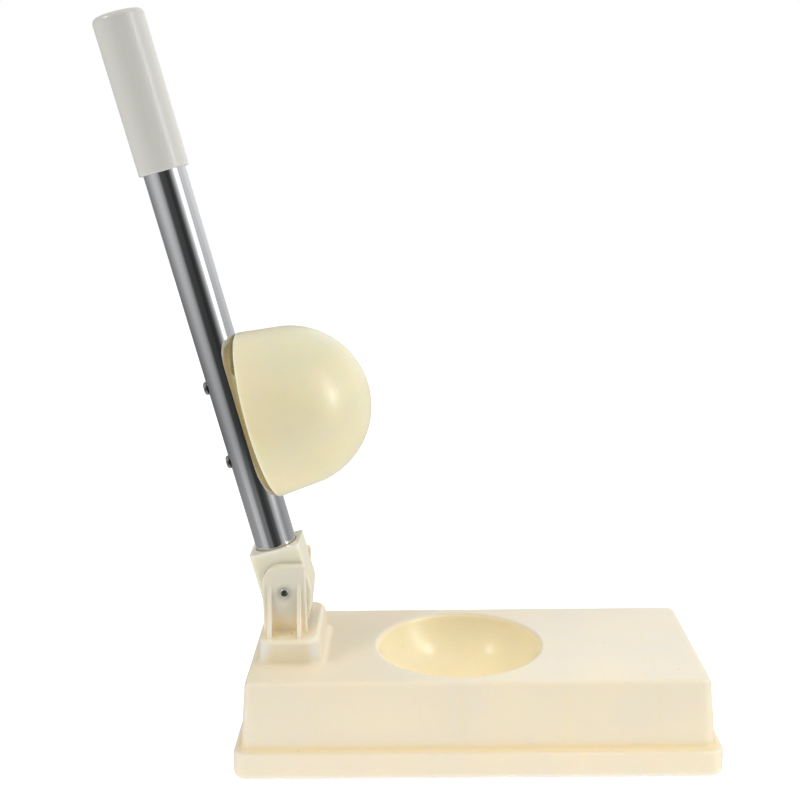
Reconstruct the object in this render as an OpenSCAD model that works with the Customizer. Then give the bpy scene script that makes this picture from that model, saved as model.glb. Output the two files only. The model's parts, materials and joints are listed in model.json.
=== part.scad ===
// Hand lever press: a moulded base with a bowl, and a hinged lever that carries a
// matching dome. The lever stands leaning back on its heel and folds down until the
// tube is level, which seats the dome in the bowl with an even gap all round.
// Frame: origin at the middle of the base's underside, +Z up, +X from the hinge end
// to the free end, so the lever swings in the XZ plane. Millimetres.

/* [Base] */
// Length of the flat top, along X
base_len = 271; // [240:1:320]
// Depth of the flat top, along Y
base_dep = 118; // [112:1:150]
// Height of the flat top above the table
base_h = 57; // [52:0.5:70]
// Wall thickness of the moulding
wall = 3; // [2:0.1:4]
// Draft of the side walls, in degrees
draft = 5; // [2:0.5:7]
// Plan radius of the base's corners, at the flat top
corner_r = 4.5; // [4:0.5:12]
// Rounding of the edge between top and side walls
edge_r = 2.5; // [1:0.1:3.5]
// Height of the skirt round the foot
skirt_h = 16; // [10:0.5:22]
// Distance that the skirt stands out from the wall
skirt_out = 4.2; // [4:0.1:7]
// Plan radius of the skirt's corners
skirt_corner_r = 9; // [7:0.5:14]
// Rounding of the skirt's upper edge
skirt_r = 1.8; // [0.8:0.1:2]
// Hollow corner between the walls and the skirt
skirt_foot_r = 3; // [1:0.1:3.2]
// Rounding of the skirt's lower edge
foot_r = 3.2; // [1:0.1:4]
// Thickness of the ribs under the top
rib_t = 2.4; // [1.8:0.1:3]

/* [Hinge] */
// Distance from the hinge end of the flat top to the pivot
pivot_inset = 21.1; // [20:0.1:30]
// Height of the pedestal above the flat top
ped_h = 16; // [12:0.5:22]
// Pedestal's reach behind the pivot
ped_back = 14.9; // [14:0.1:15]
// Pedestal's reach in front of the pivot
ped_front = 20.7; // [16:0.1:26]
// Pedestal's width, along Y
ped_wid = 68.5; // [62:0.5:72]
// Plan radius of the pedestal's corners
ped_corner_r = 9; // [4:0.5:9]
// Rounding of the pedestal's top edge
ped_edge_r = 3; // [0.8:0.1:3.4]
// Hollow corner where the pedestal meets the flat top
ped_foot_r = 4; // [2:0.1:4.4]
// Height of the pivot above the pedestal
pivot_rise = 25.6; // [25:0.1:30]
// Thickness of an ear
ear_t = 5; // [4:0.1:6]
// Width of an ear, along X
ear_w = 26.4; // [22:0.2:27]
// Height of an ear above the pivot
ear_top = 17; // [14:0.1:22]
// Rounding of an ear's rear top corner
ear_back_r = 11.6; // [6:0.2:12]
// Rounding of an ear's front top corner
ear_front_r = 2.4; // [1:0.1:4]
// Thickness of the gussets on the outside of an ear
gusset_t = 2.5; // [2:0.1:4]
// How far each gusset stands in from the edge of its ear
gusset_inset = 3.1; // [2:0.1:4]
// Reach of a gusset at its foot
gusset_out = 9.5; // [6:0.1:10]
// Hollow corner at the foot of an ear, between its gussets
ear_foot_r = 3; // [1:0.1:5]
// Rounding of the ear's outer edges
ear_edge_r = 1.4; // [0.4:0.1:1.8]
// Rounding of the gussets' outer edges
gusset_edge_r = 0.8; // [0.2:0.1:0.9]
// Diameter of the pivot pin
pin_d = 5.4; // [4:0.1:6]
// Length of pin that stands out of each ear
pin_proud = 1.2; // [0.5:0.1:2]
// Width across the flats of the pin's hexagon socket
pin_socket_af = 3.2; // [2:0.1:3.5]

/* [Lever] */
// Lean of the standing lever behind the vertical, in degrees
lean = 14.2; // [10:0.1:18]
// Outside diameter of the tube
tube_d = 25; // [22:0.5:28]
// Wall thickness of the tube
tube_wall = 1.2; // [1:0.1:1.6]
// Distance from the pivot to the top of the grip
lever_len = 350.4; // [320:0.5:400]
// Wall round the tube in the hinge block
block_wall = 3; // [2.4:0.1:3.6]
// Height of the hinge block above the pivot
block_top = 25.5; // [22:0.5:32]
// Depth of the tube's end below the pivot
tube_below = 11; // [8:0.5:13]
// Drop from the pivot to the relieved front corner of the block
relief_drop = 4.4; // [3:0.5:10]
// Reach of the block's foot in front of the pivot
relief_reach = 8.6; // [5:0.1:10]
// Chamfer at the mouth of the tube's socket
mouth_c = 0.4; // [0.4:0.1:1.6]
// Plan radius of the block's rear corners
block_back_r = 3; // [1.5:0.1:3.4]
// Plan radius of the block's front corners
block_front_r = 1.4; // [0.8:0.1:3.4]

/* [Grip] */
// Length of the grip
grip_len = 91.9; // [80:0.1:120]
// Outside diameter of the grip at its open end
grip_d = 29.8; // [29.5:0.1:34]
// Growth of the grip's diameter towards its closed end
grip_flare = 0.3; // [0:0.1:1]
// Thickness of the grip's closed end
grip_end_t = 4; // [3:0.1:6]
// Rounding of the closed end's edge
grip_end_r = 3.4; // [2:0.1:4]
// Crown of the closed end
grip_crown = 0.9; // [0.4:0.1:1.5]

/* [Dome and bowl] */
// Distance from the pivot to the dome's axis, along the tube
dome_reach = 105.8; // [100:0.1:120]
// Radius of the dome's ball end
dome_r = 48.6; // [44:0.1:50]
// Distance from the rim to the middle of the ball
dome_skirt = 19.9; // [19:0.1:26]
// Draft of the dome's skirt, in degrees
dome_draft = 6; // [3:0.5:8]
// Wall thickness of the dome
dome_wall = 3; // [2.4:0.1:4]
// Rounding of the dome's rim
rim_r = 1; // [0.5:0.1:1.2]
// Gap between the closed dome and the bowl
press_gap = 2.5; // [1.5:0.1:3]
// Rounding of the bowl's rim
bowl_rim_r = 3; // [1:0.1:4]

/* [Dome screws] */
// Distance between the two screws
screw_pitch = 47; // [36:0.5:56]
// Shank diameter
screw_d = 4; // [3.5:0.1:5]
// Length under the head
screw_len = 40; // [36:0.5:50]
// Head diameter
head_d = 8; // [7:0.1:9]
// Head height
head_h = 2.1; // [2:0.1:3]
// Outside diameter of the bosses in the dome
boss_d = 11; // [9:0.5:13]
// Depth of the cross ribs behind the rim, at the dome's wall
rib_drop = 26; // [12:1:32]

/* [Hidden] */
$fn = 96;
fit = 0.05;        // gap round parts that are pushed together
run = 0.08;        // radial gap of the bores that turn on the pin
side_gap = 0.3;    // gap between the hinge block and an ear
stop_gap = 0.3;    // gap left under the heel of the standing lever
sink = 1;          // how far joined shapes of one moulding run into each other
arc_steps = 6;     // straight pieces in a small rounding
ball_steps = 22;   // straight pieces from skirt to crown of the dome and bowl

tube_r = tube_d / 2;
pin_r = pin_d / 2;
grip_r = grip_d / 2;

pivot_x = -base_len / 2 + pivot_inset;
ped_top = base_h + ped_h;
pivot_z = ped_top + pivot_rise;

block_half = tube_r + block_wall;                 // half width of the hinge block
ear_in = block_half + side_gap;                   // inner face of an ear, from the middle
ear_out = ear_in + ear_t;
heel = (pivot_rise - stop_gap - block_half * sin(lean)) / cos(lean);  // heel below the pivot

bowl_x = pivot_x + dome_reach;                    // the level lever's dome is over the bowl
ball_z = pivot_z - tube_r - dome_skirt;           // middle of the ball when the lever is level
bowl_r = dome_r + press_gap;
bowl_floor = ball_z - bowl_r - wall;              // underside of the bowl
rim_x = sqrt(pow(bowl_r + bowl_rim_r, 2) - pow(ball_z - base_h + bowl_rim_r, 2));

dome_rim = dome_r * cos(dome_draft) + (dome_skirt + dome_r * sin(dome_draft)) * tan(dome_draft);
rib_floor = skirt_h + 5;                          // lower edge of the ribs that carry the top
screw_at = [for (k = [-1, 1]) dome_reach + k * screw_pitch / 2];

// Points of an arc, from angle a0 to a1.
function arc(x, y, r, a0, a1, n = arc_steps) =
    [for (i = [0:n]) let (a = a0 + (a1 - a0) * i / n) [x + r * cos(a), y + r * sin(a)]];

// Distance that the drafted walls have spread at height z, from their top edge.
function spread(z) = (base_h - z) * tan(draft);
function skirt_grow() = 2 * (spread(skirt_h) + skirt_out);

// A rounded box whose side is the profile that is its child, swept round the plan.
// The profile's x runs out from the axis of a corner, and z0 to z1 is its height.
module swept_box(l, w, r, z0, z1) {
    a = l / 2 - r;
    b = w / 2 - r;
    for (q = [[1, 1, 0], [-1, 1, 90], [-1, -1, 180], [1, -1, 270]])
        translate([q.x * a, q.y * b, 0]) rotate(q.z) rotate_extrude(angle = 90) children();
    for (m = [0, 1]) {
        mirror([m, 0, 0]) translate([a, b, 0]) rotate([90, 0, 0]) linear_extrude(2 * b) children();
        mirror([0, m, 0]) translate([-a, b, 0]) rotate([90, 0, 90]) linear_extrude(2 * a) children();
    }
    translate([-a, -b, z0]) cube([2 * a, 2 * b, z1 - z0]);
}

// Side of a drafted block of height h on a flat face: hollow corner at its foot and
// rounded top edge. Its top would be r out from the axis of a corner if it were sharp.
module block_profile(r, h, top_r, hollow_r) {
    foot = r + (h - hollow_r) * tan(draft) + hollow_r / cos(draft);
    polygon(concat(
        [[0, -sink], [foot, -sink]],
        arc(foot, hollow_r, hollow_r, 270, 180 + draft),
        arc(r - top_r * (1 - sin(draft)) / cos(draft), h - top_r, top_r, draft, 90),
        [[0, h]]));
}

// Side of the skirt, with both edges rounded.
module skirt_profile() {
    polygon(concat(
        [[0, 0]],
        arc(skirt_corner_r - foot_r, foot_r, foot_r, -90, 0),
        arc(skirt_corner_r - skirt_r, skirt_h - skirt_r, skirt_r, 0, 90),
        [[0, skirt_h]]));
}

// Outside of the box, without the pedestal.
module box_outside() {
    swept_box(base_len + skirt_grow(), base_dep + skirt_grow(), skirt_corner_r, 0, skirt_h) skirt_profile();
    translate([0, 0, skirt_h])
        swept_box(base_len, base_dep, corner_r, -sink, base_h - skirt_h)
            block_profile(corner_r, base_h - skirt_h, edge_r, skirt_foot_r);
}

// Hollow under the box, which leaves an even wall all over.
module box_hollow() {
    swept_box(base_len + skirt_grow(), base_dep + skirt_grow(), skirt_corner_r, -sink, skirt_h - wall)
        translate([0, -sink]) square([skirt_corner_r - wall, skirt_h - wall + sink]);
    swept_box(base_len, base_dep, corner_r, skirt_h - wall - sink, base_h - wall)
        polygon([[0, skirt_h - wall - sink], [corner_r + spread(skirt_h - wall - sink) - wall, skirt_h - wall - sink],
                 [corner_r + spread(base_h - wall) - wall, base_h - wall], [0, base_h - wall]]);
}

module at_pedestal() {
    translate([pivot_x + (ped_front - ped_back) / 2, 0, base_h]) children();
}

module pedestal() {
    at_pedestal()
        swept_box(ped_front + ped_back, ped_wid, ped_corner_r, -sink, ped_h)
            block_profile(ped_corner_r, ped_h, ped_edge_r, ped_foot_r);
}

// Hollow under the pedestal, which leaves its walls and an equally thick top.
module pedestal_hollow() {
    at_pedestal()
        translate([-(ped_front + ped_back) / 2 + wall, -ped_wid / 2 + wall, -wall - sink])
            cube([ped_front + ped_back - 2 * wall, ped_wid - 2 * wall, ped_h + sink]);
}

// Plan of a bar that stands on the +Y side: square at y0, with corners rounded by r at y1.
module soft_bar(x0, x1, y0, y1, r) {
    polygon(concat(
        [[x0, y0], [x1, y0]],
        arc(x1 - r, y1 - r, r, 0, 90, 4),
        arc(x0 + r, y1 - r, r, 90, 180, 4)));
}

// One ear with its two gussets, on the +Y side, standing on the pedestal. The plate is
// the common part of its plan, its side outline and its end outline.
module ear() {
    back = pivot_x - ear_w / 2;
    front = pivot_x + ear_w / 2;
    top = pivot_z + ear_top;
    low = ped_top - ped_edge_r - sink;
    gusset_top = pivot_z + pin_d;
    slope = atan(gusset_out / (gusset_top - ped_top));
    intersection() {
        translate([0, 0, low]) linear_extrude(top - low) soft_bar(back, front, ear_in, ear_out, ear_edge_r);
        translate([0, ear_out + sink, 0]) rotate([90, 0, 0]) linear_extrude(ear_t + 2 * sink)
            polygon(concat(
                [[back - sink, low], [front + sink, low], [front + sink, pivot_z], [front, pivot_z]],
                arc(front - ear_front_r, top - ear_front_r, ear_front_r, 0, 90),
                arc(back + ear_back_r, top - ear_back_r, ear_back_r, 90, 180, 2 * arc_steps),
                [[back, pivot_z], [back - sink, pivot_z]]));
        translate([back - sink, 0, 0]) rotate([90, 0, 90]) linear_extrude(ear_w + 2 * sink)
            polygon(concat(
                [[ear_in - sink, low - sink], [ear_out + sink, low - sink], [ear_out + sink, top - ear_edge_r], [ear_out, top - ear_edge_r]],
                arc(ear_out - ear_edge_r, top - ear_edge_r, ear_edge_r, 0, 90, 4),
                [[ear_in - sink, top]]));
    }
    for (x = [back + gusset_inset, front - gusset_inset - gusset_t]) intersection() {
        translate([0, ear_out + gusset_out, ped_top]) rotate([slope, 0, 0]) translate([0, -2 * gusset_out, -2 * ped_h])
            linear_extrude(2 * (ped_h + gusset_top - ped_top)) soft_bar(x, x + gusset_t, 0, 2 * gusset_out, gusset_edge_r);
        translate([x - sink, ear_out - ear_edge_r, low]) cube([gusset_t + 2 * sink, gusset_out + ear_edge_r, gusset_top - low]);
    }
    translate([back + ear_edge_r, 0, 0]) rotate([90, 0, 90]) linear_extrude(ear_w - 2 * ear_edge_r)
        polygon(concat(
            [[ear_out - sink, low], [ear_out + ear_foot_r, low]],
            arc(ear_out + ear_foot_r, ped_top + ear_foot_r, ear_foot_r, 270, 180),
            [[ear_out - sink, ped_top + ear_foot_r]]));
}

// Half length of a rib that ends inside the side wall, at height z.
function rib_reach(size, z) = size / 2 + spread(z) - wall / 2;

// A rib along X, hanging from the top.
module long_rib(y) {
    lo = rib_reach(base_len, rib_floor);
    hi = rib_reach(base_len, base_h - wall / 2);
    translate([0, y + rib_t / 2, 0]) rotate([90, 0, 0]) linear_extrude(rib_t)
        polygon([[-lo, rib_floor], [lo, rib_floor], [hi, base_h - wall / 2], [-hi, base_h - wall / 2]]);
}

// A rib along Y, hanging from the top.
module cross_rib(x) {
    lo = rib_reach(base_dep, rib_floor);
    hi = rib_reach(base_dep, base_h - wall / 2);
    translate([x - rib_t / 2, 0, 0]) rotate([90, 0, 90]) linear_extrude(rib_t)
        polygon([[-lo, rib_floor], [lo, rib_floor], [hi, base_h - wall / 2], [-hi, base_h - wall / 2]]);
}

// The cross under the bowl that takes the press's force down to the table.
module bowl_support() {
    arm = bowl_r * 0.72;
    for (a = [0, 90])
        translate([bowl_x, 0, 0]) rotate(a) translate([-arm, -rib_t / 2, 0])
            cube([2 * arm, rib_t, ball_z - sqrt(pow(bowl_r, 2) - pow(arm, 2)) - wall / 2]);
}

// Ribs inside the pedestal, one under each ear.
module ear_ribs() {
    for (m = [0, 1]) mirror([0, m, 0])
        translate([pivot_x - ped_back + wall / 2, (ear_in + ear_out - rib_t) / 2, base_h - wall - sink])
            cube([ped_front + ped_back - wall, rib_t, ped_h + sink]);
}

// Ball zone of the bowl, with the rounded rim that leads into it.
module bowl_hollow() {
    rim_a = atan2(ball_z - base_h + bowl_rim_r, rim_x);
    translate([bowl_x, 0, 0]) rotate_extrude()
        polygon(concat(
            [[0, base_h + sink], [rim_x, base_h + sink]],
            arc(rim_x, base_h - bowl_rim_r, bowl_rim_r, 90, 180 - rim_a),
            arc(0, ball_z, bowl_r, -rim_a, -90, ball_steps)));
}

module bowl_shell() {
    top = base_h - wall / 2;
    a = asin((ball_z - top) / (bowl_r + wall));
    translate([bowl_x, 0, 0]) rotate_extrude()
        polygon(concat([[0, top]], arc(0, ball_z, bowl_r + wall, -a, -90, ball_steps)));
}

module base() {
    color("cornsilk") difference() {
        union() {
            difference() {
                union() {
                    box_outside();
                    pedestal();
                }
                box_hollow();
                pedestal_hollow();
            }
            for (m = [0, 1]) mirror([0, m, 0]) ear();
            for (k = [-1, 0, 1]) long_rib(k * (ear_in + ear_out) / 2);
            for (x = [pivot_x + ped_front, bowl_x, bowl_x + bowl_r + 3 * wall, base_len / 2 - base_dep / 4])
                cross_rib(x);
            ear_ribs();
            bowl_support();
            bowl_shell();
        }
        bowl_hollow();
        translate([pivot_x, 0, pivot_z]) rotate([90, 0, 0]) cylinder(r = pin_r + fit / 2, h = 4 * ear_out, center = true);
    }
}

// Everything on the lever is drawn with the pivot at the origin and the tube upright,
// +Z up the tube and +X towards the dome, and is then leaned back.
module lever_frame() {
    translate([pivot_x, 0, pivot_z]) rotate([0, -lean, 0]) children();
}

// Headless pin with a chamfer at each end and a hexagon socket in its front end.
module pivot_pin() {
    l = ear_out + pin_proud;
    c = pin_d * 0.1;
    color("silver") translate([pivot_x, 0, pivot_z]) rotate([90, 0, 0]) difference() {
        rotate_extrude()
            polygon([[0, -l], [pin_r - c, -l], [pin_r, -l + c], [pin_r, l - c], [pin_r - c, l], [0, l]]);
        translate([0, 0, l - pin_socket_af]) cylinder(d = pin_socket_af / cos(30), h = pin_socket_af + sink, $fn = 6);
    }
}

// Plan of the hinge block across the tube, with rounded corners.
module block_plan() {
    b = block_half;
    polygon(concat(
        arc(b - block_front_r, b - block_front_r, block_front_r, 0, 90),
        arc(-b + block_back_r, b - block_back_r, block_back_r, 90, 180),
        arc(-b + block_back_r, -b + block_back_r, block_back_r, 180, 270),
        arc(b - block_front_r, -b + block_front_r, block_front_r, 270, 360)));
}

// Hinge block: a socket for the tube, a square heel behind that stops the lever on the
// pedestal, and a relieved front corner that clears the pedestal as the lever folds.
module lever_block() {
    b = block_half;
    color("cornsilk") lever_frame() difference() {
        intersection() {
            translate([0, 0, -heel]) linear_extrude(block_top + heel) block_plan();
            translate([0, b + sink, 0]) rotate([90, 0, 0]) linear_extrude(2 * (b + sink))
                polygon([[-b, block_top], [b, block_top], [b, -relief_drop],
                         [relief_reach, -heel], [-b, -heel]]);
        }
        translate([0, 0, -tube_below - fit]) cylinder(r = tube_r + fit, h = block_top + tube_below + sink);
        translate([0, 0, block_top - mouth_c]) cylinder(r1 = tube_r + fit, r2 = tube_r + fit + 2 * mouth_c, h = 2 * mouth_c);
        rotate([90, 0, 0]) cylinder(r = pin_r + run, h = 4 * b, center = true);
    }
}

module lever_tube() {
    top = lever_len - grip_end_t - fit;
    color("lightgray") lever_frame() difference() {
        translate([0, 0, -tube_below]) cylinder(r = tube_r, h = top + tube_below);
        translate([0, 0, -tube_below - sink]) cylinder(r = tube_r - tube_wall, h = top + tube_below + 2 * sink);
        rotate([90, 0, 0]) cylinder(r = pin_r + run, h = 4 * tube_r, center = true);
        for (z = screw_at)
            translate([0, 0, z]) rotate([0, 90, 0]) cylinder(r = screw_d / 2 + run, h = 4 * tube_r, center = true);
    }
}

// Moulded grip: a sleeve with one crowned, closed end, pushed over the tube.
module hand_grip() {
    low = lever_len - grip_len;
    r1 = grip_r + grip_flare / 2;
    crown_a = 2 * atan(grip_crown / (r1 - grip_end_r));
    crown_r = (r1 - grip_end_r) / sin(crown_a);
    lip = 1;
    color("gainsboro") lever_frame() difference() {
        rotate_extrude() polygon(concat(
            [[0, low]],
            arc(grip_r - lip, low + lip, lip, -90, 0),
            arc(r1 - grip_end_r, lever_len - grip_crown - grip_end_r, grip_end_r, 0, 90 - crown_a),
            arc(0, lever_len - crown_r, crown_r, 90 - crown_a, 90)));
        translate([0, 0, low - sink]) cylinder(r = tube_r + fit, h = grip_len - grip_end_t + sink);
    }
}

// Half section of the dome's outside, drawn in by t. Its y runs from the rim to the crown.
module dome_section(t, round_rim) {
    r = dome_r - t;
    rim = dome_rim - t / cos(dome_draft);
    polygon(concat(
        [[0, 0]],
        round_rim ? arc(rim - rim_r * (1 + sin(dome_draft)) / cos(dome_draft), rim_r, rim_r, -90, dome_draft) : [[rim, 0]],
        arc(0, dome_skirt, r, dome_draft, 90, ball_steps)));
}

// Hollow dome that lies against the tube, with two screw bosses and their ribs inside.
module press_dome() {
    tip = screw_len - tube_d + 2 * wall;
    color("cornsilk") lever_frame() difference() {
        translate([tube_r, 0, dome_reach]) rotate([0, 90, 0]) union() {
            difference() {
                rotate_extrude() dome_section(0, true);
                translate([0, 0, -fit]) rotate_extrude() dome_section(dome_wall, false);
            }
            intersection() {
                union() {
                    for (k = [-1, 1]) translate([k * screw_pitch / 2, 0, 0]) {
                        cylinder(d = boss_d, h = dome_r + dome_skirt);
                        rotate([90, 0, 90]) linear_extrude(rib_t, center = true) polygon([
                            [-dome_rim, rib_drop], [-boss_d / 2, block_wall], [boss_d / 2, block_wall], [dome_rim, rib_drop],
                            [dome_rim, dome_r + dome_skirt], [-dome_rim, dome_r + dome_skirt]]);
                    }
                    translate([-dome_rim, -rib_t / 2, 0]) cube([2 * dome_rim, rib_t, dome_r + dome_skirt]);
                }
                rotate_extrude() dome_section(dome_wall / 2, false);
            }
        }
        for (z = screw_at)
            translate([0, 0, z]) rotate([0, 90, 0]) cylinder(r = screw_d / 2 + fit, h = tube_r + tip);
        translate([0, 0, dome_reach]) cylinder(r = tube_r + fit, h = 4 * dome_r, center = true);
    }
}

// Pan head screw that passes through the tube from behind, into a boss of the dome.
module dome_screw(z) {
    slot = head_d * 0.14;
    color("silver") lever_frame() translate([-tube_r, 0, z]) rotate([0, 90, 0]) difference() {
        rotate_extrude() polygon(concat(
            [[0, screw_len], [screw_d * 0.3, screw_len], [screw_d / 2, screw_len - screw_d * 0.4], [screw_d / 2, 0]],
            [[head_d / 2, 0]],
            arc(head_d / 2 - head_h * 0.6, -head_h * 0.4, head_h * 0.6, 0, -90),
            [[0, -head_h]]));
        for (a = [0, 90]) rotate(a) translate([-head_d * 0.3, -slot / 2, -head_h - sink]) cube([head_d * 0.6, slot, head_h * 0.6 + sink]);
    }
}

module dome_screw_lower() dome_screw(screw_at[0]);
module dome_screw_upper() dome_screw(screw_at[1]);

base();
pivot_pin();
lever_block();
lever_tube();
hand_grip();
press_dome();
dome_screw_lower();
dome_screw_upper();
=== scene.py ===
import json
import math

import bmesh
import bpy
from mathutils import Matrix, Vector


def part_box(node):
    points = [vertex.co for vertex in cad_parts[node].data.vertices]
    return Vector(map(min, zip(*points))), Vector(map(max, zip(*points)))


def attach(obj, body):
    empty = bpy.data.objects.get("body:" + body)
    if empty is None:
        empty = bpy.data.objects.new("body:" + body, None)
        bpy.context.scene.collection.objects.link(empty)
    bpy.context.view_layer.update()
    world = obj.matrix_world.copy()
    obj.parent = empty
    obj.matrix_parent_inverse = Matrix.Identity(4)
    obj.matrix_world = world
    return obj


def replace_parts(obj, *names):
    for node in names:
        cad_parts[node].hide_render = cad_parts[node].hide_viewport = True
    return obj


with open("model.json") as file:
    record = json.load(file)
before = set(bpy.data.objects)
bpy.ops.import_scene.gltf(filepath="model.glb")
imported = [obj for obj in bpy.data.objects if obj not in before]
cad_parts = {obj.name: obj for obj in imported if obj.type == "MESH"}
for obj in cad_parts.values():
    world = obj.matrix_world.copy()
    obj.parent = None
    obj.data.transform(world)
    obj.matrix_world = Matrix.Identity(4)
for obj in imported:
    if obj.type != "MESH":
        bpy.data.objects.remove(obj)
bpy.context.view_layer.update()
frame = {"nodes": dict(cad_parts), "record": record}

MM = 0.001

# Camera: at the front, a little above the grip, looking slightly down.
IMAGE_SIDE = 800
CAMERA_AT = Vector((-31.57, -750.27, 367.55)) * MM
CAMERA_FOCAL_PX = 1277.83
CAMERA_PITCH = math.radians(11.7)
CAMERA_YAW = math.radians(0.89)
CAMERA_ROLL = math.radians(-0.87)
SENSOR_MM = 36.0

# The lever's pivot, and how far the lever leans back from upright.
PIVOT = Vector(frame["record"]["behaviour"]["joints"][0]["pos_m"])
LEVER_LEAN = math.radians(14.2)

# Turns a place on the lever, measured from the pivot with Z along the tube, to where it stands.
ON_LEVER = Matrix.Translation(PIVOT) @ Matrix.Rotation(-LEVER_LEAN, 4, "Y")

# Mouth of the hinge block: how far up the tube, the tube's radius, and the radius of the ring of painted shade there.
BLOCK_TOP = 25.5 * MM
TUBE_RADIUS = 12.5 * MM
SHADE_RING_RADIUS = 0.3 * MM

# Pivot pin: its hexagon socket across the flats and as deep, the drill's cone below it, and its rounded ends.
PIN_SOCKET = 3.2 * MM
PIN_SOCKET_CONE = 0.3 * PIN_SOCKET
PIN_ROUND = 0.6 * MM

# Corners sharper than this stay sharp when a piece is shaded smooth.
SHARP_ANGLE = math.radians(35)

# The dome's ball, and the bowl's: the middle, and the radius of the surface inside it.
DOME_MIDDLE = ON_LEVER @ (Vector((32.4, 0.0, 105.8)) * MM)
DOME_INSIDE = 45.6 * MM
BOWL_MIDDLE = Vector((-8.6, 0.0, 66.2)) * MM
BOWL_RADIUS = 51.1 * MM

# Heights on the base: the ledge on its skirt, the foot of its ears, and where the ears' painted grey is full.
SKIRT_TOP = 16 * MM
EAR_FOOT = PIVOT.z - 22 * MM
EAR_FULL = EAR_FOOT + 18 * MM

# Dark specks in the base's moulding: where in mm, radius in mm, and how strong.
MOULDING_SPECKS = [
    ((-44.5, 28.1, 43.2), 2.0, 0.35),
    ((-110.6, -22.5, 73.3), 0.9, 0.6),
    ((119.5, -42.7, 57.0), 1.4, 0.15),
    ((81.2, -2.4, 57.0), 1.6, 0.10),
    ((-104.8, -63.1, 17.0), 0.8, 0.4),
]

# Patterns in the plastic: uneven colour from cooling, uneven gloss from handling, and the mould's fine orange peel.
COLOUR_DRIFT = 45 * MM
GLOSS_DRIFT = 28 * MM
ORANGE_PEEL = 1.6 * MM
ORANGE_PEEL_DEPTH = 0.05 * MM

# How far the painted light reaches in the plastic's hollow corners and on its thin edges, and the painted shade in
# the metal's recesses. The shares are of open space round a point: where the tone begins, and where it is full.
CREASE_REACH, CREASE_SHARES = 16 * MM, (0.80, 0.25)
EDGE_REACH, EDGE_SHARES = 3.2 * MM, (0.95, 0.55)
RECESS_REACH, RECESS_SHARES = 3 * MM, (0.65, 0.25)
REACH_SAMPLES = 8

# A lit white table: its light on the object, how bright it looks, its half width, and its edge behind the camera.
TABLE_GLOW = 0.54
TABLE_SEEN = 0.42
TABLE_HALF = 1.6
TABLE_FRONT = 0.5

# How bright the studio is steeply above and below, and between which slopes that takes over from the ring.
OVERHEAD = 0.8
OVERHEAD_SLOPES = (0.45, 0.80)

# What the studio shows at each bearing: degrees from the camera's side, + to the right, and how bright.
# The light panel on the right stands high, so what leans down towards the table sees less of it.
RING_HIGH = [
    (-180, 0.45), (-130, 0.32), (-102, 0.48), (-83, 0.64), (-67, 0.80), (-53, 0.80), (-39, 0.64),
    (-27, 0.44), (-21, 0.18), (-15, 0.10), (-3, 0.09), (8, 0.08), (20, 0.04), (31, 0.08), (36, 0.25),
    (43, 0.44), (55, 1.05), (65, 2.30), (67, 6.00), (71, 6.00), (73, 2.30), (81, 1.80), (86, 1.00),
    (90, 0.65), (95, 0.95), (111, 0.88), (130, 1.08), (180, 1.05),
]
RING_LOW = [
    (-180, 0.65), (-110, 0.65), (-90, 0.70), (-72, 0.82), (-61, 1.25), (-50, 1.22), (-37, 0.86),
    (-23, 0.40), (-9, 0.42), (0, 0.15), (4, 0.10), (24, 0.08), (37, 0.22), (46, 0.72), (54, 1.02),
    (64, 1.45), (77, 1.02), (91, 0.62), (114, 0.78), (150, 0.95), (180, 0.95),
]

# Slopes along the lever: between which the low ring gives way to the high one, and over which the ring is dimmed.
RING_CHANGE = (-0.25, -0.175)
RING_DIM_SLOPES = (-0.20, 0.05)
RING_DIM = 0.38

# Lamps: name, place, aim, width in metres, power in watts, and whether shiny surfaces show it.
LAMPS = [
    ("lamp_right", (0.335, -0.18, 0.365), (-0.03, 0.0, 0.1), 0.12, 0.26, True),
    ("lamp_left", (-1.02, -0.51, 1.0), (-0.03, 0.0, 0.1), 0.27, 1.7, True),
    ("softbox_left", (-1.0, -0.55, 1.0), (-0.03, 0.0, 0.1), 0.9, 3.0, False),
    ("softbox_right", (1.1, -0.35, 0.18), (-0.03, 0.0, 0.1), 0.6, 0.2, False),
    ("softbox_top", (0.4, -0.25, 1.3), (0.0, 0.0, 0.0), 0.9, 1.0, False),
    ("softbox_front", (0.35, -0.9, 0.75), (-0.03, 0.0, 0.1), 0.6, 0.4, False),
]


def make_camera():
    data = bpy.data.cameras.new("camera")
    data.sensor_width = SENSOR_MM
    data.lens = CAMERA_FOCAL_PX / IMAGE_SIDE * SENSOR_MM
    data.clip_start = 0.05
    data.clip_end = 20.0
    camera = bpy.data.objects.new("camera", data)
    camera.matrix_world = (
        Matrix.Translation(CAMERA_AT)
        @ Matrix.Rotation(CAMERA_YAW, 4, "Z")
        @ Matrix.Rotation(math.pi / 2 - CAMERA_PITCH, 4, "X")
        @ Matrix.Rotation(CAMERA_ROLL, 4, "Z")
    )
    bpy.context.scene.collection.objects.link(camera)
    bpy.context.scene.camera = camera


def linear(hex_code):
    """sRGB hex to the linear colour that Blender's sockets take."""
    out = []
    for i in (0, 2, 4):
        c = int(hex_code[i:i + 2], 16) / 255
        out.append(c / 12.92 if c <= 0.04045 else ((c + 0.055) / 1.055) ** 2.4)
    return (*out, 1.0)


def add(tree, kind, inputs=None, **settings):
    """Adds one node. Each input is a value, or another node's output to link; settings are its properties."""
    node = tree.nodes.new(kind)
    for key, value in settings.items():
        setattr(node, key, value)
    for key, value in (inputs or {}).items():
        if isinstance(value, bpy.types.NodeSocket):
            tree.links.new(value, node.inputs[key])
        else:
            node.inputs[key].default_value = value
    return node


def span(low, high, at_low=0.0, at_high=1.0):
    """Inputs that take low to at_low and high to at_high."""
    return {"From Min": low, "From Max": high, "To Min": at_low, "To Max": at_high}


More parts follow.
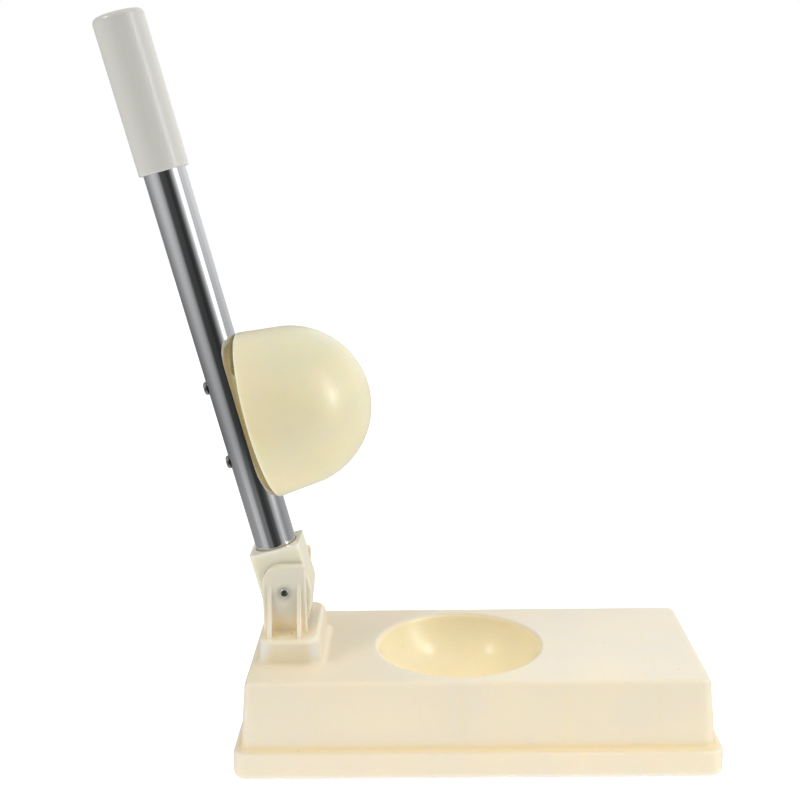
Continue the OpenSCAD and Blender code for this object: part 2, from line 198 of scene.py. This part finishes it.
def new_material(name):
    material = bpy.data.materials.new(name)
    material.use_nodes = True
    material.node_tree.nodes.clear()
    return material, material.node_tree


def patch(tree, place, middle, inner, outer, strength):
    """Mask of a round patch with a soft edge. A None in its middle makes it a rod along that axis."""
    at = add(tree, "ShaderNodeSeparateXYZ", {"Vector": place})
    seen = {axis: at.outputs[axis] for axis, value in zip("XYZ", middle) if value is not None}
    flat = add(tree, "ShaderNodeCombineXYZ", seen)
    middle = tuple(value or 0.0 for value in middle)
    gone = add(tree, "ShaderNodeVectorMath", {0: flat.outputs["Vector"], 1: middle}, operation="DISTANCE")
    mask = add(tree, "ShaderNodeMapRange", {"Value": gone.outputs["Value"], **span(inner, outer, strength, 0.0)},
               interpolation_type="SMOOTHSTEP")
    return mask.outputs["Result"]


def dome_painted_light(tree, place):
    """Painted light: the inside of the dome is painted pale, for light that comes through its wall and bounces about
    inside it.
    """
    return [(patch(tree, place, DOME_MIDDLE, DOME_INSIDE + 0.5 * MM, DOME_INSIDE + 1.5 * MM, 1.0), "FFF8E2")]


def base_tones(tree, place):
    """Painted light: the thin ears are painted greyer, for light through their thin walls, and the bowl and the foot
    of the walls are painted warmer, for light that bounces about and gathers there. Round the pin the ears are greyer
    still."""
    height = add(tree, "ShaderNodeSeparateXYZ", {"Vector": place}).outputs["Z"]
    heights = [
        (EAR_FOOT, EAR_FULL, 0.0, 1.0),
        (SKIRT_TOP + 1 * MM, SKIRT_TOP + 7 * MM, 0.4, 0.0),
        (SKIRT_TOP - 0.2 * MM, SKIRT_TOP + 0.8 * MM, 0.0, 1.0),
    ]
    ears, near_skirt, above_skirt = (
        add(tree, "ShaderNodeMapRange", {"Value": height, **span(*ends)}, interpolation_type="SMOOTHSTEP")
        .outputs["Result"] for ends in heights)
    pin = (PIVOT.x, None, PIVOT.z)
    specks = [
        (patch(tree, place, Vector(spot) * MM, 0.4 * radius * MM, radius * MM, strength), "9A8C5E")
        for spot, radius, strength in MOULDING_SPECKS]
    # Painted light: the foot of the walls, just above the skirt's ledge, is painted amber.
    painted_foot_light = add(tree, "ShaderNodeMath", {0: near_skirt, 1: above_skirt}, operation="MULTIPLY")
    return [
        # Painted light: the ears are painted greyer towards the top, for light through their thin walls.
        (ears, "DCD7C6"),
        # A grey ring round the pin, fading out between 2.4 and 6.5 mm from its axis.
        (patch(tree, place, pin, 2.4 * MM, 6.5 * MM, 0.55), "A9A493"),
        *specks,
        # Painted light: the bowl's inside is painted brighter and warmer.
        (patch(tree, place, BOWL_MIDDLE, BOWL_RADIUS - 0.05 * MM, BOWL_RADIUS + 0.6 * MM, 0.8), "FFEDC4"),
        (painted_foot_light.outputs["Value"], "F8DC96"),
    ]


def moulded_plastic(name, body, drift_and_crease_light, edge, roughness, gloss, scatter, scatter_mm, tones=None):
    """Milky injection moulding with painted light: its hollow corners are painted a deeper colour where bounced light
    would gather, and its outer edges are painted paler where light would leave them on both sides. The crease tone
    also drifts in at random. Gloss is how strong its clear polished skin is."""
    material, tree = new_material(name)
    place = add(tree, "ShaderNodeTexCoord").outputs["Object"]
    drift = add(tree, "ShaderNodeTexNoise", {"Vector": place, "Scale": 1 / COLOUR_DRIFT, "Detail": 1.0})
    uneven = add(tree, "ShaderNodeMapRange", {"Value": drift.outputs["Fac"], **span(0.25, 0.75, 0.0, 0.25)},
                 interpolation_type="SMOOTHSTEP")
    # Painted light: the less open space round a point, the more of the deeper crease tone it is painted.
    hollow = add(tree, "ShaderNodeAmbientOcclusion", {"Distance": CREASE_REACH},
                 samples=REACH_SAMPLES, only_local=True)
    painted_crease_light = add(tree, "ShaderNodeMapRange", {"Value": hollow.outputs["AO"], **span(*CREASE_SHARES)})
    # Painted light: thin outer edges, found by looking inward from the surface, are painted the paler edge tone.
    thin = add(tree, "ShaderNodeAmbientOcclusion", {"Distance": EDGE_REACH},
               samples=REACH_SAMPLES, only_local=True, inside=True)
    rim = add(tree, "ShaderNodeMapRange", {"Value": thin.outputs["AO"], **span(*EDGE_SHARES)})
    layers = [(node.outputs["Result"], tone) for node, tone in ((uneven, drift_and_crease_light), (painted_crease_light, drift_and_crease_light), (rim, edge))]
    colour = linear(body)
    for mask, tone in layers + (tones(tree, place) if tones else []):
        layer = add(tree, "ShaderNodeMixRGB", {"Fac": mask, "Color1": colour, "Color2": linear(tone)})
        colour = layer.outputs["Color"]
    wave = add(tree, "ShaderNodeTexNoise", {"Vector": place, "Scale": 1 / GLOSS_DRIFT, "Detail": 1.0})
    rough = add(tree, "ShaderNodeMapRange",
                {"Value": wave.outputs["Fac"], **span(0.3, 0.7, roughness - 0.04, roughness + 0.04)})
    peel = add(tree, "ShaderNodeTexNoise",
               {"Vector": place, "Scale": 1 / ORANGE_PEEL, "Detail": 3.0, "Roughness": 0.55})
    skin = add(tree, "ShaderNodeBump",
               {"Height": peel.outputs["Fac"], "Strength": 0.05, "Distance": ORANGE_PEEL_DEPTH})
    shader = add(tree, "ShaderNodeBsdfPrincipled", {
        "Base Color": colour, "Roughness": rough.outputs["Result"], "Normal": skin.outputs["Normal"], "IOR": 1.5,
        "Coat Weight": gloss, "Coat Roughness": 0.13,
        "Subsurface Weight": scatter, "Subsurface Scale": scatter_mm * MM, "Subsurface Radius": (1.0, 0.62, 0.28)})
    add(tree, "ShaderNodeOutputMaterial", {"Surface": shader.outputs["BSDF"]})
    return material


def metal(name, colour, roughness, streak_mm, streak):
    """Metal with faint marks from drawing, turning or handling, and painted shade darkening its recesses."""
    material, tree = new_material(name)
    place = add(tree, "ShaderNodeTexCoord").outputs["Object"]
    marks = add(tree, "ShaderNodeTexNoise", {"Vector": place, "Scale": 1 / (streak_mm * MM), "Detail": 4.0})
    rough = add(tree, "ShaderNodeMapRange",
                {"Value": marks.outputs["Fac"], **span(0.3, 0.7, roughness, roughness + streak)})
    # Painted shade: the less open space round a point, the darker it is painted.
    recess = add(tree, "ShaderNodeAmbientOcclusion", {"Distance": RECESS_REACH},
                 samples=REACH_SAMPLES, only_local=True)
    painted_recess_shade = add(tree, "ShaderNodeMapRange", {"Value": recess.outputs["AO"], **span(*RECESS_SHARES, 0.0, 0.85)})
    tone = add(tree, "ShaderNodeMixRGB",
               {"Fac": painted_recess_shade.outputs["Result"], "Color1": linear(colour), "Color2": linear("3A342C")})
    shader = add(tree, "ShaderNodeBsdfPrincipled", {
        "Base Color": tone.outputs["Color"], "Roughness": rough.outputs["Result"], "Metallic": 1.0})
    add(tree, "ShaderNodeOutputMaterial", {"Surface": shader.outputs["BSDF"]})
    return material


def finish_piece(shape, name, material, body):
    """Makes the bmesh a piece that rides on a body, its curves smooth and its corners sharp."""
    bmesh.ops.remove_doubles(shape, verts=shape.verts, dist=0.001 * MM)
    bmesh.ops.recalc_face_normals(shape, faces=shape.faces)
    mesh = bpy.data.meshes.new(name)
    shape.to_mesh(mesh)
    shape.free()
    mesh.shade_smooth()
    mesh.set_sharp_from_angle(angle=SHARP_ANGLE)
    mesh.materials.append(material)
    piece = bpy.data.objects.new(name, mesh)
    bpy.context.scene.collection.objects.link(piece)
    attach(piece, body)
    return piece


def extrude_loop(shape, edges, drop):
    """Pulls a loop of edges down its own axis, and returns the new loop."""
    out = bmesh.ops.extrude_edge_only(shape, edges=edges)["geom"]
    bmesh.ops.translate(shape, verts=[v for v in out if isinstance(v, bmesh.types.BMVert)], vec=(0.0, 0.0, -drop))
    return [e for e in out if isinstance(e, bmesh.types.BMEdge) and e.is_boundary]


def hinge_pin():
    """Turned pin across both ears: rounded ends, and a drilled hexagon socket with a corner up in the near one."""
    low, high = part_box("pivot_pin")
    shape = bmesh.new()
    bmesh.ops.create_circle(shape, segments=6, radius=PIN_SOCKET / 2 / math.cos(math.pi / 6))
    socket = shape.edges[:]
    bmesh.ops.create_circle(shape, segments=60, radius=(high.x - low.x) / 2)
    rim = [e for e in shape.edges if e not in socket]
    bmesh.ops.bridge_loops(shape, edges=shape.edges[:])
    floor = bmesh.ops.contextual_create(shape, geom=extrude_loop(shape, socket, PIN_SOCKET))["faces"]
    tip = bmesh.ops.poke(shape, faces=floor)["verts"]
    bmesh.ops.translate(shape, verts=tip, vec=(0.0, 0.0, -PIN_SOCKET_CONE))
    far = extrude_loop(shape, rim, high.y - low.y)
    bmesh.ops.contextual_create(shape, geom=far)
    bmesh.ops.bevel(shape, geom=rim + far, offset=PIN_ROUND, segments=4, profile=0.5, affect="EDGES", material=-1)
    near_end = Matrix.Translation((PIVOT.x, low.y, PIVOT.z)) @ Matrix.Rotation(math.pi / 2, 4, "X")
    bmesh.ops.transform(shape, matrix=near_end, verts=shape.verts)
    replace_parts(finish_piece(shape, "hinge_pin", PIN_STEEL, "base"), "pivot_pin")


def mouth_shade_ring():
    """Thin dark amber ring of painted shade where the tube goes into the block, standing in for the shadow in that
    joint.
    """
    shape = bmesh.new()
    shade_loop = bmesh.ops.create_circle(shape, segments=10, radius=SHADE_RING_RADIUS)["verts"]
    bmesh.ops.rotate(shape, verts=shade_loop, matrix=Matrix.Rotation(math.pi / 2, 3, "X"))
    bmesh.ops.translate(shape, verts=shade_loop, vec=(TUBE_RADIUS + SHADE_RING_RADIUS, 0.0, BLOCK_TOP))
    bmesh.ops.spin(shape, geom=shape.verts[:] + shape.edges[:], axis=(0, 0, 1), angle=2 * math.pi,
                   steps=72, use_merge=True)
    bmesh.ops.transform(shape, matrix=ON_LEVER, verts=shape.verts)
    finish_piece(shape, "mouth_shade_ring", PAINTED_JOINT_SHADE, "lever")


def to_the_eye(tree):
    """1 for rays that reach the camera straight or through glass, so that it sees plain white."""
    path = add(tree, "ShaderNodeLightPath")
    seen = add(tree, "ShaderNodeMath",
               {0: path.outputs["Is Camera Ray"], 1: path.outputs["Is Transmission Ray"]}, operation="MAXIMUM")
    return seen.outputs["Value"]


def make_floor():
    """A lit white table: pure white to the eye, lights the object from below, and keeps a soft shadow."""
    material, tree = new_material("white table, lit from below")
    level = add(tree, "ShaderNodeMapRange", {"Value": to_the_eye(tree), "To Min": TABLE_GLOW, "To Max": TABLE_SEEN})
    paper = add(tree, "ShaderNodeBsdfDiffuse", {"Color": linear("F0F0F0")})
    glow = add(tree, "ShaderNodeEmission", {"Strength": level.outputs["Result"], "Color": linear("FFFFFF")})
    both = add(tree, "ShaderNodeAddShader", {0: paper.outputs["BSDF"], 1: glow.outputs["Emission"]})
    add(tree, "ShaderNodeOutputMaterial", {"Surface": both.outputs["Shader"]})
    mesh = bpy.data.meshes.new("floor")
    shape = bmesh.new()
    bmesh.ops.create_grid(shape, x_segments=1, y_segments=1, size=TABLE_HALF)
    bmesh.ops.translate(shape, verts=shape.verts, vec=(0.0, TABLE_HALF - TABLE_FRONT, 0.0))
    shape.to_mesh(mesh)
    shape.free()
    floor = bpy.data.objects.new("floor", mesh)
    floor.data.materials.append(material)
    floor.visible_glossy = False
    bpy.context.scene.collection.objects.link(floor)


def make_world():
    """Even studio light, white to the eye, with the bright and dark sides of a studio for what the metal reflects."""
    world = bpy.data.worlds.new("studio")
    bpy.context.scene.world = world
    world.use_nodes = True
    tree = world.node_tree
    tree.nodes.clear()
    sky = add(tree, "ShaderNodeTexCoord").outputs["Generated"]
    way = add(tree, "ShaderNodeSeparateXYZ", {"Vector": sky})
    ahead = add(tree, "ShaderNodeMath", {0: way.outputs["Y"], 1: -1.0}, operation="MULTIPLY")
    turn = add(tree, "ShaderNodeMath", {0: way.outputs["X"], 1: ahead.outputs["Value"]}, operation="ARCTAN2")
    bearing = add(tree, "ShaderNodeMapRange", {"Value": turn.outputs["Value"], **span(-math.pi, math.pi)})
    rings = []
    for ring in (RING_LOW, RING_HIGH):
        band = add(tree, "ShaderNodeValToRGB", {"Fac": bearing.outputs["Result"]})
        marks = band.color_ramp.elements
        marks.remove(marks[1])
        for degrees, level in ring:
            mark = marks[0] if degrees == -180 else marks.new((180 + degrees) / 360)
            mark.color = (level, level, level, 1.0)
        rings.append(band.outputs["Color"])
    lever_axis = (-math.sin(LEVER_LEAN), 0.0, math.cos(LEVER_LEAN))
    along = add(tree, "ShaderNodeVectorMath", {0: sky, 1: lever_axis}, operation="DOT_PRODUCT").outputs["Value"]
    steep = add(tree, "ShaderNodeMath", {0: way.outputs["Z"]}, operation="ABSOLUTE").outputs["Value"]
    change, dim, lid = (
        add(tree, "ShaderNodeMapRange", {"Value": value, **ends}, interpolation_type="SMOOTHSTEP").outputs["Result"]
        for value, ends in (
            (along, span(*RING_CHANGE)), (along, span(*RING_DIM_SLOPES, RING_DIM, 0.0)),
            (steep, span(*OVERHEAD_SLOPES))))
    view = rings[0]
    for mask, over in (
            (change, rings[1]), (dim, (0.0, 0.0, 0.0, 1.0)), (lid, (OVERHEAD, OVERHEAD, OVERHEAD, 1.0)),
            (to_the_eye(tree), (1.0, 1.0, 1.0, 1.0))):
        view = add(tree, "ShaderNodeMixRGB", {"Fac": mask, "Color1": view, "Color2": over}).outputs["Color"]
    back = add(tree, "ShaderNodeBackground", {"Color": view, "Strength": 1.0})
    add(tree, "ShaderNodeOutputWorld", {"Surface": back.outputs["Background"]})


def make_lamp(name, at, aim, width, power, mirrored):
    data = bpy.data.lights.new(name, "AREA")
    data.shape = "DISK"
    data.size = width
    data.energy = power
    lamp = bpy.data.objects.new(name, data)
    lamp.location = Vector(at)
    lamp.rotation_euler = (Vector(aim) - Vector(at)).to_track_quat("-Z", "Y").to_euler()
    lamp.visible_glossy = mirrored
    bpy.context.scene.collection.objects.link(lamp)


make_camera()

# Every plastic below is painted with light: its crease tone deepens its hollow corners, its edge tone pales its outer
# edges.
# Cream ABS from a polished mould: a warm milky body under a clear gloss, painted amber in its corners and whiter at
# its edges.
CREAM = moulded_plastic(
    "cream ABS, gloss moulded", body="E7DCC4", drift_and_crease_light="FFE6B2", edge="E7E2D9",
    roughness=0.35, gloss=0.5, scatter=0.45, scatter_mm=6.0, tones=base_tones)

# Nylon, which is cloudier and greener than the ABS beside it, with a duller shine.
MILKY = moulded_plastic(
    "milky nylon, gloss moulded", body="E4E0CB", drift_and_crease_light="E2D8A8", edge="ECE9DE",
    roughness=0.35, gloss=0.2, scatter=0.35, scatter_mm=5.0)

# A yellower ABS in a thin shell, so light sinks far into it and its shading looks soft and waxy.
DOME = moulded_plastic(
    "yellowish ABS, gloss moulded", body="E3D9B9", drift_and_crease_light="F0DEAC", edge="E5DDC8",
    roughness=0.35, gloss=0.32, scatter=0.8, scatter_mm=10.0, tones=dome_painted_light)

# Hard grey-white ABS, nearly opaque, with a clear narrow highlight along the sleeve.
GRIP = moulded_plastic(
    "grey-white ABS, satin moulded", body="C8C7BF", drift_and_crease_light="BDBBB0", edge="D2D1CA",
    roughness=0.35, gloss=0.5, scatter=0.15, scatter_mm=3.0)

# Painted shade for the tube's joint with the block: a dull dark amber line.
PAINTED_JOINT_SHADE = moulded_plastic(
    "painted joint shade, dark amber", body="8E7C58", drift_and_crease_light="7A6844", edge="A4926C",
    roughness=0.55, gloss=0.0, scatter=0.2, scatter_mm=0.5)

# Chrome over drawn steel: a near mirror, its reflections drawn out along the tube and faintly uneven.
CHROME = metal("chrome plate on drawn tube", "CBCCCE", roughness=0.05, streak_mm=3.0, streak=0.03)

# Nickel over a headed screw: darker and blurrier than chrome, with painted shade blackening the drive.
SCREW_STEEL = metal("nickel plate on steel", "8C8B88", roughness=0.28, streak_mm=1.0, streak=0.1)

# Zinc over a turned pin: a pale bright ring round a socket darkened by painted shade.
PIN_STEEL = metal("zinc-plated steel", "E6E6E2", roughness=0.20, streak_mm=1.0, streak=0.05)

FINISH = {
    "base": CREAM, "lever_block": MILKY, "press_dome": DOME, "hand_grip": GRIP, "lever_tube": CHROME,
    "pivot_pin": PIN_STEEL, "dome_screw_lower": SCREW_STEEL, "dome_screw_upper": SCREW_STEEL,
}
for name, node in frame["nodes"].items():
    for slot in node.material_slots:
        slot.material = FINISH[name]

hinge_pin()
mouth_shade_ring()
make_floor()
make_world()
for lamp in LAMPS:
    make_lamp(*lamp)

bpy.context.scene.view_settings.view_transform = "Standard"
